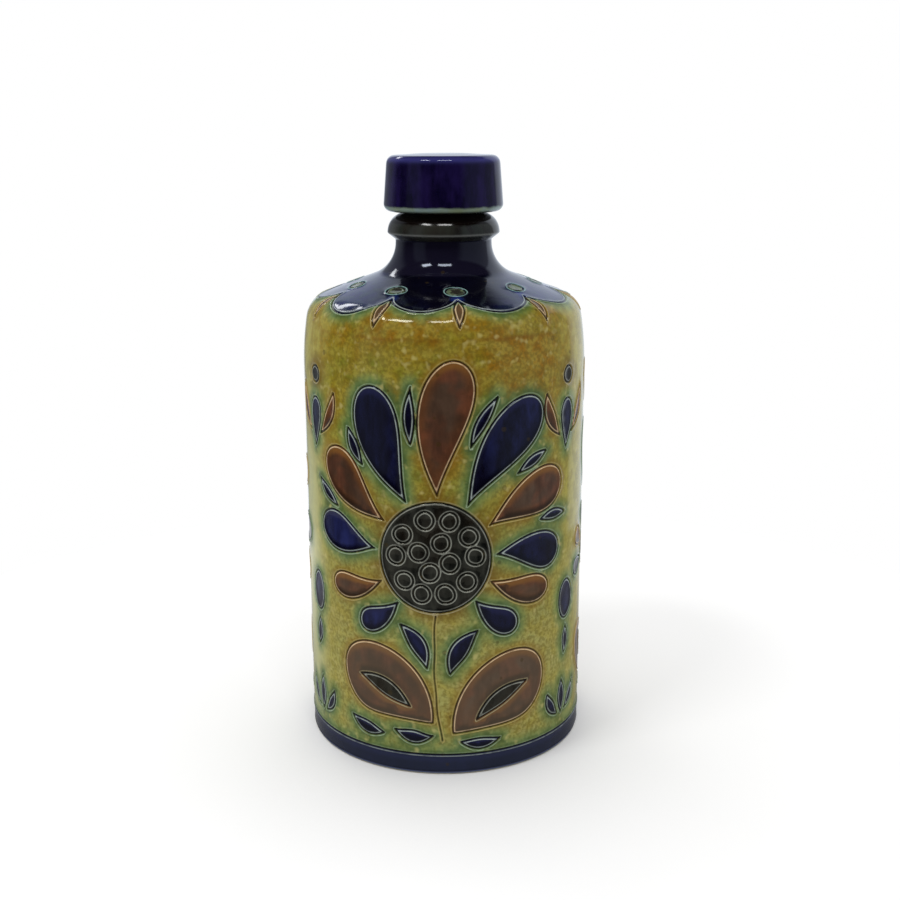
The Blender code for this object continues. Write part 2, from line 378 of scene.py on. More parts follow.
def spaced(points, closed, widest, finest=0.36, sharpest=0.26):
    """The outline again in even steps, closer together where it bends, with the direction to its left."""
    ring = ringed(points, closed)
    scale = np.interp(ring[:, 1], unrolled_y, body_radius / unrolled_radius)
    leg = np.diff(ring, axis=0)
    real = np.linalg.norm(leg, axis=1) / ((scale[1:] + scale[:-1]) / 2)
    heading = np.unwrap(np.arctan2(leg[:, 1], leg[:, 0]))
    bend = np.abs(np.gradient(heading)) / np.maximum(real, 1e-6)
    worth = np.concatenate([[0], np.cumsum(real * np.clip(bend / sharpest, 1 / widest, 1 / finest))])
    count = max(int(round(worth[-1])), 6)
    share = np.linspace(0, worth[-1], count + 1)[: count if closed else count + 1]
    even = np.stack([np.interp(share, worth, ring[:, k]) for k in (0, 1)], 1)
    if closed:
        run = np.roll(even, -1, axis=0) - np.roll(even, 1, axis=0)
        run[:, 0] -= whole * np.round(run[:, 0] / whole)
    else:
        run = np.gradient(even, axis=0)
    run /= np.linalg.norm(run, axis=1)[:, None]
    return even, np.stack([-run[:, 1], run[:, 0]], 1)


def tree_of(places):
    """A search tree of places on the pot."""
    tree = KDTree(len(places))
    for index, place in enumerate(places):
        tree.insert(place, index)
    tree.balance()
    return tree


def gaps_to(tree, places):
    """How far each place is from the nearest one in a search tree."""
    return np.array([tree.find(place)[2] for place in places])


# Rows of points follow every cut line, so that its groove and its two ridges are real edges of the mesh.
# A row's point is left out where another line or another point is nearer than the row is to its own line.
line_rows = (0.0, 0.3, -0.3, 0.55, -0.55, 0.78, -0.78, 1.1, -1.1)
line_step = 1.0
row_slack = 0.05
least_gap = 0.16
edge_margin = 0.4

# Between the lines lie even rows of points, with these steps, and these gaps to the lines and the edges
ground_step = 2.2
ground_row_share = 0.87
ground_clearance = 1.6
ground_low_margin = 1.8
ground_high_margin = 1.0
column_count = 144

drawn = [spaced(points, closed, line_step) for points, glaze, closed in outlines]


def finely(points, closed, step=0.2):
    """The outline again in small even steps."""
    ring = ringed(points, closed)
    far = lengths(ring)
    share = np.linspace(0, far[-1], max(int(far[-1] / step), 8))
    return np.stack([np.interp(share, far, ring[:, k]) for k in (0, 1)], 1)


fine = [finely(points, closed) for points, glaze, closed in outlines]
fine_tree = tree_of(on_pot(np.concatenate(fine))[2])
net = [np.concatenate([even for even, left in drawn])]
net_line = [np.zeros(len(net[0]))]
for row in line_rows[1:]:
    beside = np.concatenate([even + left * row * stretched(even)[:, None] for even, left in drawn])
    places = on_pot(beside)[2]
    gap = gaps_to(fine_tree, places)
    taken = tree_of(on_pot(np.concatenate(net))[2])
    keep = (gap > abs(row) - row_slack) & (gaps_to(taken, places) > least_gap)
    keep &= (beside[:, 1] > unrolled_y[0] + edge_margin) & (beside[:, 1] < unrolled_y[-1] - edge_margin)
    net.append(beside[keep])
    net_line.append(np.minimum(gap[keep], abs(row)))

ground = []
y = unrolled_y[0] + ground_low_margin
while y < unrolled_y[-1] - ground_high_margin:
    scale = body_radius / np.interp(y, unrolled_y, unrolled_radius)
    count = int(whole / (ground_step * scale))
    x = (np.arange(count) + 0.5 * (len(ground) % 2)) * whole / count
    ground.append(np.stack([x, np.full(count, y)], 1))
    y += ground_row_share * ground_step * scale
ground = np.concatenate(ground)
gap = gaps_to(fine_tree, on_pot(ground)[2])
net.append(ground[gap > ground_clearance])
net_line.append(gap[gap > ground_clearance])

# The net's two edges meet the plain rows of the foot and of the neck
columns = np.arange(column_count) * whole / column_count
edges = [np.stack([columns, np.full(column_count, edge)], 1) for edge in (unrolled_y[0], unrolled_y[-1])]
net = np.concatenate(edges + net)
net_line = np.concatenate([gaps_to(fine_tree, on_pot(edge)[2]) for edge in edges] + net_line)


def hoops(start, rows, count):
    """The rings of points of some rows."""
    return [list(range(start + row * count, start + (row + 1) * count)) for row in range(rows)]


def onwards(ring):
    """The ring from its second point on, back to its first."""
    return ring[1:] + ring[:1]


# The unrolled pot is rolled into a flat ring, foot outermost, in which the net closes round without a seam
flat_radius = np.exp(-(net[:, 1] - unrolled_y[0]) / body_radius)
flat_angle = net[:, 0] / body_radius
flat = np.stack([flat_radius * np.sin(flat_angle), -flat_radius * np.cos(flat_angle)], 1)
ties = []
for ring in hoops(0, 2, column_count):
    ties += zip(ring, onwards(ring))
start = 2 * column_count
for (even, left), (points, glaze, closed) in zip(drawn, outlines):
    ring = hoops(start, 1, len(even))[0]
    ties += zip(ring, onwards(ring) if closed else ring[1:])
    start += len(even)
flat = [Vector(point) for point in flat]
whole_hull = 0
tolerance = 0.0
found, _, triangles, origin, _, _ = delaunay_2d_cdt(flat, ties, [], whole_hull, tolerance)
found = np.array(found)
net_y = unrolled_y[0] - body_radius * np.log(np.linalg.norm(found, axis=1))
net_x = body_radius * np.mod(np.arctan2(found[:, 0], -found[:, 1]), 2 * math.pi)
line = np.array([net_line[source[0]] if source else 0.0 for source in origin])
edge_rings = [None] * (2 * column_count)
for index, source in enumerate(origin):
    if source:
        net_x[index], net_y[index] = net[source[0]]
        if source[0] < len(edge_rings):
            edge_rings[source[0]] = index
lower_ring = edge_rings[:column_count]
upper_ring = edge_rings[column_count:]
net = np.stack([net_x, net_y], 1)
upper_points = set(upper_ring)
triangles = [face for face in triangles if not upper_points.issuperset(face)]
angle, length, places = on_pot(net)

# How far each point is from the edge of each slip, less than nothing inside it
reach_limit = 8.0


def within(points):
    """Which points of the net lie within an outline."""
    middle = points[:, 0].mean()
    x = np.mod(net[:, 0] - middle + whole / 2, whole) - whole / 2 + middle
    low = points.min(0)
    high = points.max(0)
    near = np.nonzero((x > low[0]) & (x < high[0]) & (net[:, 1] > low[1]) & (net[:, 1] < high[1]))[0]
    one = points[None]
    two = np.roll(points, -1, axis=0)[None]
    here_x, here_y = x[near, None], net[near, 1][:, None]
    spans = (one[..., 1] > here_y) != (two[..., 1] > here_y)
    rise = np.where(two[..., 1] == one[..., 1], 1, two[..., 1] - one[..., 1])
    crossing = one[..., 0] + (here_y - one[..., 1]) * (two[..., 0] - one[..., 0]) / rise
    return near[np.sum(spans & (here_x < crossing), axis=1) % 2 == 1]


def distance_to(traced, inside):
    """Distance in millimetres to some traced lines, less than nothing for the points inside."""
    far = np.minimum(gaps_to(tree_of(on_pot(np.concatenate(traced))[2]), places), reach_limit)
    return np.where(inside, -far, far)


# How thinly each shape was brushed, from 0 to 1
usual_thinness = 0.4
thinly = np.full(len(net), usual_thinness)


def slip_distance(slip, inside, more_edges=()):
    """Signed distance to the shapes that are filled with one slip."""
    own = list(more_edges)
    for (points, glaze, closed), traced in zip(outlines, fine):
        if glaze == slip:
            own.append(traced)
            filled = within(points)
            inside[filled] = True
            thinly[filled] = hand.uniform()
    return distance_to(own, inside)


# The scallops' points, where cobalt pooled, lie at this radius of the shoulder
pooled_radius = 35.0
border = (net[:, 1] > scallop_edge(net[:, 0])) | (net[:, 1] < band_height)
pooled_y = np.full(len(scallop_points), y_at_radius(pooled_radius))
carried = {"line": line, "cobalt": slip_distance("cobalt", border, [fine[edge] for edge in border_edges])}
for slip in ("brown", "slate", "olive"):
    carried[slip] = slip_distance(slip, np.zeros(len(net), bool))
carried["pooled"] = distance_to([np.stack([scallop_points, pooled_y], 1)], False)

# Where the nearest cut line lies: one is straight above the point, minus one straight below it, and less on
# the line itself
on_line = 0.3
nearest = [fine_tree.find(place) for place in places]
rises = [spot.z - place[2] for (spot, _, _), place in zip(nearest, places)]
above_it = np.array([rise / max(gap, on_line) for rise, (_, _, gap) in zip(rises, nearest)])


def rows_between(line, first, last, widest):
    """Lengths of a turned piece's plain rows: every point of its section, and more on long stretches."""
    far = lengths(line)
    stops = np.concatenate([[first], far[(far > first + 0.05) & (far < last - 0.05)], [last]])
    rows = [stops[:1]]
    for one, two in zip(stops, stops[1:]):
        rows.append(np.linspace(one, two, 1 + max(1, math.ceil((two - one) / widest)))[1:])
    return np.concatenate(rows)


def banded(rings):
    """Faces between each ring and the one above it."""
    faces = []
    for one, two in zip(rings, rings[1:]):
        faces += zip(one, onwards(one), onwards(two), two)
    return faces


def closed_off(first, last, pole):
    """Faces from the first ring to the pole under the piece, and from the last to the pole that follows."""
    faces = [(two, one, pole) for one, two in zip(first, onwards(first))]
    return faces + [(one, two, pole + 1) for one, two in zip(last, onwards(last))]


def added(name, data):
    """A new object in the scene."""
    thing = bpy.data.objects.new(name, data)
    bpy.context.scene.collection.objects.link(thing)
    return thing


def blank(name, turns, alongs, faces, carried):
    """A mesh that only knows where each point lies on the turned piece: its angle and its length along."""
    mesh = bpy.data.meshes.new(name)
    mesh.from_pydata(np.stack([turns, alongs, np.zeros(len(turns))], 1), [], faces)
    for title, values in {"turn": turns, "along": alongs, **carried}.items():
        attribute = mesh.attributes.new(title, "FLOAT", "POINT")
        attribute.data.foreach_set("value", np.asarray(values, np.float32))
    return added(name, mesh)


# Foot below the net and neck, lip, bore and inside above it
foot_step = 3.0
neck_step = 3.2
below = rows_between(pot_line, 0, ornament_start, foot_step)[1:-1]
above = rows_between(pot_line, ornament_end, pot_length[-1], neck_step)[1:-1]
ring_angle = np.arange(column_count) * 2 * math.pi / column_count
turns = np.concatenate([angle] + [ring_angle] * (len(below) + len(above)) + [[0.0, 0.0]])
alongs = [np.full(column_count, row) for row in (*below, *above)]
alongs = np.concatenate([length] + alongs + [[0.0, pot_length[-1]]])
net_count = len(net)
above_start = net_count + len(below) * column_count
below_rings = hoops(net_count, len(below), column_count)
above_rings = hoops(above_start, len(above), column_count)
faces = list(triangles) + banded(below_rings + [lower_ring]) + banded([upper_ring] + above_rings)
faces += closed_off(below_rings[0], above_rings[-1], above_start + len(above) * column_count)

# On the plain rows there is no line and no slip but cobalt, which ends at the edge of the foot
foot_edge = length_at(3, height=0.45)
plain_far = np.full(len(turns) - net_count, reach_limit)
plain_cobalt = np.where(alongs[net_count:] > foot_edge, -reach_limit, reach_limit)
for title, far in carried.items():
    carried[title] = np.concatenate([far, plain_cobalt if title == "cobalt" else plain_far]) * MM
carried["above_it"] = np.append(above_it, np.zeros(len(plain_far)))
carried["thinly"] = np.append(thinly, np.full(len(plain_far), usual_thinness))
pot_blank = blank("pot_blank", turns, alongs * MM, faces, carried)


def place(tree, kind, *feeds, **settings):
    """Put a node in a tree, set it, and feed its open inputs in order, from sockets or with values."""
    node = tree.nodes.new(kind)
    for title, value in settings.items():
        setattr(node, title, value)
    for socket, feed in zip([socket for socket in node.inputs if socket.enabled], feeds):
        if isinstance(feed, bpy.types.NodeSocket):
            tree.links.new(feed, socket)
        elif feed is not None:
            socket.default_value = feed
    return node


def reckon(tree, operation, *feeds):
    """A math node's result."""
    return place(tree, "ShaderNodeMath", *feeds, operation=operation).outputs[0]


def times(tree, one, two, more=None):
    """The product of two values, with a third added where there is one."""
    if more is None:
        return reckon(tree, "MULTIPLY", one, two)
    return reckon(tree, "MULTIPLY_ADD", one, two, more)


def split(tree, vector):
    """The three parts of a vector."""
    return place(tree, "ShaderNodeSeparateXYZ", vector).outputs


def joined(tree, x, y, z):
    """A vector of three parts."""
    return place(tree, "ShaderNodeCombineXYZ", x, y, z).outputs[0]


def open_tree(name, kind, inputs, outputs):
    """A node tree with named inputs and outputs: a number is a float input's value, a word a type."""
    tree = bpy.data.node_groups.new(name, kind)
    for title, value in inputs.items():
        if isinstance(value, float):
            socket = tree.interface.new_socket(title, in_out="INPUT", socket_type="NodeSocketFloat")
            socket.default_value = value
        else:
            tree.interface.new_socket(title, in_out="INPUT", socket_type="NodeSocket" + value)
    for title, value in outputs.items():
        tree.interface.new_socket(title, in_out="OUTPUT", socket_type="NodeSocket" + value)
    entry = tree.nodes.new("NodeGroupInput").outputs
    return tree, entry, tree.nodes.new("NodeGroupOutput")


# The wheel: it wraps a blank round the piece's section, and presses the throwing rings and cut lines in.
# Each cut line has a raised lip on both sides, this far from its middle.
lip_offset = 0.00056
wheel, entry, leave = open_tree(
    "Turned on the wheel",
    "GeometryNodeTree",
    {
        "Blank": "Geometry",
        "Section": "Object",
        "Groove Depth": 0.0,
        "Groove Width": 0.00022,
        "Ridge Height": 0.0,
        "Ridge Width": 0.00020,
        "Ridge Offset": lip_offset,
        "Throwing Rings": 0.0,
        "Ring Pitch": 0.006,
        "Seed": 0.0,
        "Material": "Material",
    },
    {"Turned Piece": "Geometry"},
)
wheel.is_modifier = True


def known(tree, title):
    """A value that the blank's points carry."""
    return place(tree, "GeometryNodeInputNamedAttribute", title, data_type="FLOAT").outputs[0]


turn = known(wheel, "turn")
along = known(wheel, "along")
off_line = known(wheel, "line")
section_curve = place(wheel, "GeometryNodeObjectInfo", entry["Section"]).outputs["Geometry"]
on_section = place(wheel, "GeometryNodeSampleCurve", section_curve, mode="LENGTH", use_all_curves=True)
wheel.links.new(along, on_section.inputs["Length"])
spot = split(wheel, on_section.outputs["Position"])
heading = split(wheel, on_section.outputs["Tangent"])


def swell(tree, distance, offset, width):
    """A bell-shaped swelling along a line, one at its middle."""
    share = reckon(tree, "DIVIDE", reckon(tree, "SUBTRACT", distance, offset), width)
    return reckon(tree, "EXPONENT", times(tree, times(tree, share, share), -1.0))


groove = times(wheel, swell(wheel, off_line, 0.0, entry["Groove Width"]), entry["Groove Depth"])
ridge = swell(wheel, off_line, entry["Ridge Offset"], entry["Ridge Width"])
ridge = times(wheel, ridge, entry["Ridge Height"])
sine = reckon(wheel, "SINE", turn)
cosine = reckon(wheel, "COSINE", turn)
ring_count = reckon(wheel, "ADD", reckon(wheel, "DIVIDE", along, entry["Ring Pitch"]), entry["Seed"])
ring_place = joined(wheel, times(wheel, sine, 0.25), times(wheel, cosine, 0.25), ring_count)
rings = place(wheel, "ShaderNodeTexNoise", ring_place, 1.0, 1.0).outputs[0]
rings = times(wheel, reckon(wheel, "SUBTRACT", rings, 1.0), entry["Throwing Rings"])
relief = reckon(wheel, "ADD", reckon(wheel, "SUBTRACT", ridge, groove), rings)
radius = times(wheel, heading[2], relief, spot[0])
height = reckon(wheel, "SUBTRACT", spot[2], times(wheel, heading[0], relief))
forwards = times(wheel, times(wheel, radius, cosine), -1.0)
turned_place = joined(wheel, times(wheel, radius, sine), forwards, height)
wrapped = place(wheel, "GeometryNodeSetPosition", entry["Blank"], None, turned_place).outputs[0]
smooth = place(wheel, "GeometryNodeSetShadeSmooth", wrapped).outputs[0]
solid = place(wheel, "GeometryNodeRealizeInstances", smooth).outputs[0]
glazed = place(wheel, "GeometryNodeSetMaterial", solid, None, entry["Material"]).outputs[0]
wheel.links.new(glazed, leave.inputs[0])


def section_object(name, line):
    """The section as a curve, radius along X and height along Z, in metres."""
    curve = bpy.data.curves.new(name, "CURVE")
    curve.dimensions = "3D"
    spline = curve.splines.new("POLY")
    spline.points.add(len(line) - 1)
    for point, (radius, height) in zip(spline.points, line * MM):
        point.co = (radius, 0, height, 1)
    return added(name, curve)


def turned(name, blank_object, line, material, **sizes):
    """Wrap a blank round a section on the wheel, and keep the result as a plain mesh."""
    guide = section_object(name + "_section", line)
    modifier = blank_object.modifiers.new("wheel", "NODES")
    modifier.node_group = wheel
    values = {"Section": guide, "Material": material}
    values.update({title.replace("_", " "): value for title, value in sizes.items()})
    for item in wheel.interface.items_tree:
        if item.item_type == "SOCKET" and item.in_out == "INPUT" and item.name in values:
            modifier[item.identifier] = values[item.name]
    bpy.context.view_layer.update()
    result = blank_object.evaluated_get(bpy.context.evaluated_depsgraph_get())
    mesh = bpy.data.meshes.new_from_object(result)
    mesh.name = name
    blank_object.modifiers.clear()
    piece = added(name, mesh)
    bpy.data.objects.remove(blank_object)
    bpy.data.objects.remove(guide)
    return piece


def fired(shade):
    """A shade card's red, green and blue, 0 to 255, as a material's values. A colour of four stays."""
    if isinstance(shade, tuple) and len(shade) == 3:
        return (*((value / 255) ** 2.2 for value in shade), 1.0)
    return shade


def blend_of(tree, share, one, two):
    """Two colours mixed by a share."""
    node = place(tree, "ShaderNodeMix", share, fired(one), fired(two), data_type="RGBA")
    return [socket for socket in node.outputs if socket.enabled][0]


def coated(tree, colour, *coats):
    """A colour under coats that are laid on in turn, each a share and a shade."""
    for share, shade in coats:
        colour = blend_of(tree, share, colour, shade)
    return colour


def ease(tree, value, start, end, low=0.0, high=1.0):
    """A soft step from low to high between two values."""
    steps = (value, start, end, low, high)
    return place(tree, "ShaderNodeMapRange", *steps, interpolation_type="SMOOTHSTEP").outputs[0]


def clouds(tree, where, size, detail=3.0, roughness=0.5):
    """Soft clouds of about a size in metres, from a socket or as a number."""
    scale = reckon(tree, "DIVIDE", 1.0, size) if isinstance(size, bpy.types.NodeSocket) else 1 / size
    return place(tree, "ShaderNodeTexNoise", where, scale, detail, roughness).outputs[0]


def pressed(tree, where, tall):
    """A place for a pattern that is pressed flat (above one) or drawn out (below one) along the height."""
    return place(tree, "ShaderNodeMapping", where, None, None, (1.0, 1.0, tall)).outputs[0]


# Salt glaze: clouds where the salt lay thick or thin, runs, orange peel, pale blotches and dark iron specks
skin, entry, leave = open_tree(
    "Salt glaze skin",
    "ShaderNodeTree",
    {"Place": "Vector", "Cloud Size": 0.014, "Peel Size": 0.0011, "Speck Size": 0.0022},
    {title: "Float" for title in ("Clouds", "Runs", "Blotches", "Iron", "Peel")},
)
where = entry["Place"]
run_scale = reckon(skin, "DIVIDE", 2.6, entry["Cloud Size"])
run_noise = place(skin, "ShaderNodeTexNoise", pressed(skin, where, 0.32), run_scale, 3.0, 0.6).outputs[0]
speck_scale = reckon(skin, "DIVIDE", 1.0, entry["Speck Size"])
iron = place(skin, "ShaderNodeTexVoronoi", where, times(skin, speck_scale, 0.7))
iron_size = place(skin, "ShaderNodeSeparateColor", iron.outputs["Color"]).outputs[1]
iron_reach = ease(skin, iron_size, 0.80, 1.0, 0.0, 0.26)
for title, result in (
    ("Clouds", ease(skin, clouds(skin, where, entry["Cloud Size"], 4.0, 0.55), 0.32, 0.68)),
    ("Runs", ease(skin, run_noise, 0.35, 0.70)),
    ("Blotches", ease(skin, clouds(skin, where, entry["Speck Size"], 1.0), 0.57, 0.84)),
    ("Iron", ease(skin, reckon(skin, "SUBTRACT", iron_reach, iron.outputs["Distance"]), 0.0, 0.08)),
    ("Peel", clouds(skin, where, entry["Peel Size"], 2.0, 0.45)),
):
    skin.links.new(result, leave.inputs[title])


def new_material(name):
    """A material with one shader. Gives the material, its tree and the shader."""
    material = bpy.data.materials.new(name)
    material.use_nodes = True
    tree = material.node_tree
    return material, tree, tree.nodes["Principled BSDF"]


def skinned(tree, cloud_size, peel_size, speck_size):
    """The salt glaze's skin in a material, with the object's own coordinates."""
    here = place(tree, "ShaderNodeTexCoord").outputs["Object"]
    group = place(tree, "ShaderNodeGroup", node_tree=skin)
    tree.links.new(here, group.inputs["Place"])
    for title, value in (("Cloud Size", cloud_size), ("Peel Size", peel_size), ("Speck Size", speck_size)):
        group.inputs[title].default_value = value
    return here, group.outputs


def raised(tree, height, distance):
    """A bump from a height."""
    node = place(tree, "ShaderNodeBump", None, distance)
    tree.links.new(height, node.inputs["Height"])
    return node.outputs[0]


def carried_by(tree, title):
    """A value that the mesh's points carry, in a material."""
    return place(tree, "ShaderNodeAttribute", attribute_name=title).outputs["Fac"]


def glazed_as(tree, shader, colour, roughness, normal, shine=None):
    """Feed a material's shader, with how strongly it mirrors where that isn't the usual."""
    tree.links.new(colour, shader.inputs["Base Color"])
    tree.links.new(roughness, shader.inputs["Roughness"])
    tree.links.new(normal, shader.inputs["Normal"])
    if shine is not None:
        shader.inputs["Specular IOR Level"].default_value = shine


# Painted wall: ochre salt glaze, greener and paler towards the foot, over slips that bleed past their cut
# lines. The paler, greener sides and the pale left edge are painted light, standing for the side light and
# reflections that reach the wall there.
painted, tree, shader = new_material("painted_salt_glaze")
here, salt = skinned(tree, 0.012, 0.0011, 0.0028)
across, _, level = split(tree, here)
line_off = carried_by(tree, "line")
slips = {title: carried_by(tree, title) for title in ("cobalt", "brown", "slate", "olive")}
above_line = carried_by(tree, "above_it")
thinned = carried_by(tree, "thinly")
fine_clouds = clouds(tree, here, 0.0030, 3.0, 0.65)
mottle = ease(tree, clouds(tree, here, 0.0042), 0.36, 0.64)
grain = ease(tree, salt["Peel"], 0.36, 0.64)
broad_noise = clouds(tree, here, 0.026, 4.0, 0.6)
drifts = ease(tree, broad_noise, 0.40, 0.62)
rusted = ease(tree, clouds(tree, here, 0.010, 2.0), 0.50, 0.66)
combed = ease(tree, clouds(tree, pressed(tree, here, 16.0), 0.03, 2.0), 0.42, 0.62)
feather = times(tree, reckon(tree, "SUBTRACT", fine_clouds, 0.5), 0.0009)
sideways = reckon(tree, "ABSOLUTE", across)

browned = times(tree, ease(tree, broad_noise, 0.42, 0.58), ease(tree, level, 0.06, 0.12, 0.12, 0.78))
under_bend = times(tree, feather, 2.0, level)
run_thin = times(tree, swell(tree, under_bend, 0.1452, 0.0007), drifts)
# Painted light: paler and greener towards both sides, palest at the left edge, for light from the sides
painted_side_light = times(tree, ease(tree, sideways, 0.031, 0.047, 0.0, 0.85), ease(tree, level, 0.03, 0.10, 0.7, 1.0))
painted_left_edge_light = times(tree, ease(tree, across, -0.038, -0.046, 0.0, 0.7), ease(tree, level, 0.13, 0.09))
by_brown = ease(tree, times(tree, feather, 2.0, slips["brown"]), 0.0006, 0.0034, 0.5, 0.0)
by_slate = ease(tree, times(tree, feather, 3.0, slips["slate"]), 0.0006, 0.0060, 0.62, 0.0)
by_blue = times(tree, feather, 2.0, slips["cobalt"])
greened = blend_of(tree, mottle, (76, 102, 52), (104, 132, 82))
greened = blend_of(tree, times(tree, salt["Runs"], 0.55), greened, (56, 112, 84))
ground_colour = coated(
    tree,
    blend_of(tree, salt["Clouds"], (140, 121, 38), (104, 113, 41)),
    (browned, (138, 92, 24)),
    (ease(tree, level, 0.125, 0.03, 0.0, 0.75), (168, 166, 102)),
    (times(tree, mottle, 0.62), (156, 144, 64)),
    (times(tree, grain, 0.50), (92, 78, 30)),
    (times(tree, combed, 0.22), (106, 92, 34)),
    (times(tree, run_thin, 0.55), (108, 68, 22)),
    (painted_side_light, blend_of(tree, mottle, (148, 138, 56), (170, 162, 76))),
    (painted_left_edge_light, (194, 198, 150)),
    (by_brown, (120, 88, 32)),
    (by_slate, (98, 72, 26)),
    (ease(tree, by_blue, 0.0008, 0.0056, 0.72, 0.0), greened),
    (ease(tree, by_blue, 0.0006, 0.0024, 0.46, 0.0), (44, 62, 40)),
    (times(tree, salt["Blotches"], 0.56), (192, 180, 116)),
)

# Slip and glaze creep down before they set: every shape is thin under its upper edge and thick over its
# lower one
by_edge = times(tree, above_line, ease(tree, line_off, 0.0008, 0.0042, 1.0, 0.0))
crept = ease(tree, by_edge, 0.10, 0.95)
gathered = ease(tree, by_edge, -0.10, -0.95)
brown_colour = coated(
    tree,
    blend_of(tree, thinned, (66, 50, 40), (90, 72, 60)),
    (ease(tree, line_off, 0.0010, 0.0052, 0.75, 0.0), (100, 62, 38)),
    (times(tree, rusted, 0.5), (110, 64, 46)),
    (times(tree, salt["Runs"], 0.66), (56, 39, 31)),
    (times(tree, mottle, 0.30), (50, 39, 32)),
    (times(tree, crept, 0.70), (126, 86, 44)),
    (times(tree, gathered, 0.85), (34, 26, 20)),
    (ease(tree, level, 0.066, 0.044, 0.0, 0.28), (108, 98, 84)),
    (ease(tree, level, 0.143, 0.147, 0.0, 0.5), (88, 78, 56)),
)
slate_colour = blend_of(tree, salt["Runs"], (20, 21, 20), (48, 49, 45))
slate_colour = blend_of(tree, times(tree, drifts, 0.5), slate_colour, (38, 30, 22))
olive_colour = blend_of(tree, ease(tree, fine_clouds, 0.42, 0.60), (44, 42, 38), (88, 100, 74))

# Cobalt fires nearly black where it is thick, and blue where it ran thin: the neck was dipped, down to a
# level, and the band of the foot brushed
dip_low, dip_full = 0.1490, 0.1510
thin = times(tree, salt["Runs"], times(tree, drifts, 0.35, 0.15))
thin = times(tree, times(tree, thinned, thinned), 0.35, thin)
thin = times(tree, thin, ease(tree, line_off, 0.0005, 0.0028))
thin = times(tree, thin, ease(tree, level, 0.152, 0.158, 1.0, 0.2))
thin = times(tree, thin, ease(tree, level, 0.0068, 0.0086, 0.4, 1.0))
# Painted reflection: away from the front the dipped shoulder turns lighter blue, for the walls it mirrors
painted_shoulder_sheen = times(tree, ease(tree, level, dip_low, dip_full), ease(tree, sideways, 0.012, 0.026))
painted_shoulder_sheen = times(tree, painted_shoulder_sheen, ease(tree, broad_noise, 0.30, 0.64, 0.35, 0.95))
painted_shoulder_sheen_colour = blend_of(tree, ease(tree, fine_clouds, 0.30, 0.85), (38, 40, 88), (50, 68, 82))
by_point = ease(tree, times(tree, feather, 3.0, carried_by(tree, "pooled")), 0.0002, 0.0030, 0.75, 0.0)
cobalt_colour = coated(
    tree,
    blend_of(tree, thin, (17, 15, 27), (44, 49, 96)),
    (ease(tree, level, dip_low, dip_full, 0.0, 0.75), (9, 8, 17)),
    (painted_shoulder_sheen, painted_shoulder_sheen_colour),
    (times(tree, crept, 0.35), (46, 48, 92)),
    (times(tree, gathered, 0.60), (8, 7, 16)),
    # Lighter neck above 161 mm; its crisp lower edge is painted shade, for the shade under a step at the
    # shoulder
    (ease(tree, level, 0.1614, 0.1622, 0.0, 0.8), (27, 25, 38)),
    (by_point, (34, 50, 112)),
    (ease(tree, level, 0.0082, 0.0060, 0.0, 0.5), (47, 52, 69)),
    (ease(tree, level, 0.0004, 0.0014, 0.8, 0.0), (100, 108, 140)),
)

colour = ground_colour
slip_colours = {"brown": brown_colour, "cobalt": cobalt_colour, "slate": slate_colour, "olive": olive_colour}
for title, slip_colour in slip_colours.items():
    edge = ease(tree, reckon(tree, "ADD", slips[title], feather), -0.0002, 0.0002, 1.0, 0.0)
    colour = blend_of(tree, edge, colour, slip_colour)
colour = blend_of(tree, times(tree, salt["Iron"], 0.42), colour, (56, 46, 22))

# Both lips of a cut line are bare of slip and fire pale, the inner one palest, and the line nearly black
lip_colour = None
line_colour = (50, 38, 18)
for title, inner_lip, outer_lip in (
    ("brown", (232, 202, 158), (176, 158, 96)),
    ("slate", (154, 156, 146), (164, 154, 118)),
    ("olive", (84, 98, 80), (146, 186, 178)),
    ("cobalt", (178, 190, 184), (150, 170, 138)),
):
    own_lip = blend_of(tree, ease(tree, slips[title], -0.0002, 0.0002), inner_lip, outer_lip)
    if lip_colour is None:
        lip_colour = own_lip
        continue
    near = ease(tree, reckon(tree, "ABSOLUTE", slips[title]), 0.0011, 0.0018, 1.0, 0.0)
    lip_colour = blend_of(tree, near, lip_colour, own_lip)
    line_colour = blend_of(tree, near, line_colour, (13, 15, 14))
# Lips pale unevenly at random, and are brighter where the cut line lies above them: that part is painted
# light, the lit upper slope of a lip under a groove.
lip_wear_and_light = ease(tree, times(tree, salt["Runs"], 0.3, fine_clouds), 0.36, 0.70, 0.45, 1.0)
lip_wear_and_light = times(tree, lip_wear_and_light, times(tree, above_line, 0.20, 0.80))
lips = times(tree, swell(tree, line_off, lip_offset, 0.00017), lip_wear_and_light)
lips = times(tree, lips, ease(tree, level, 0.0074, 0.0094, 0.5, 1.0))
cut_line = times(tree, swell(tree, line_off, 0.0, 0.00023), 0.95)
colour = coated(tree, colour, (lips, lip_colour), (cut_line, line_colour))
roughness = times(tree, lips, 0.26, times(tree, salt["Clouds"], 0.04, 0.06))
glazed_as(tree, shader, colour, roughness, raised(tree, fine_clouds, 0.000018), 0.36)
blue_here = ease(tree, slips["cobalt"], -0.0002, 0.0002, 1.0, 0.0)
sheen = blend_of(tree, blue_here, (1.0, 0.97, 0.78, 1.0), (0.76, 0.84, 1.0, 1.0))
tree.links.new(sheen, shader.inputs["Specular Tint"])

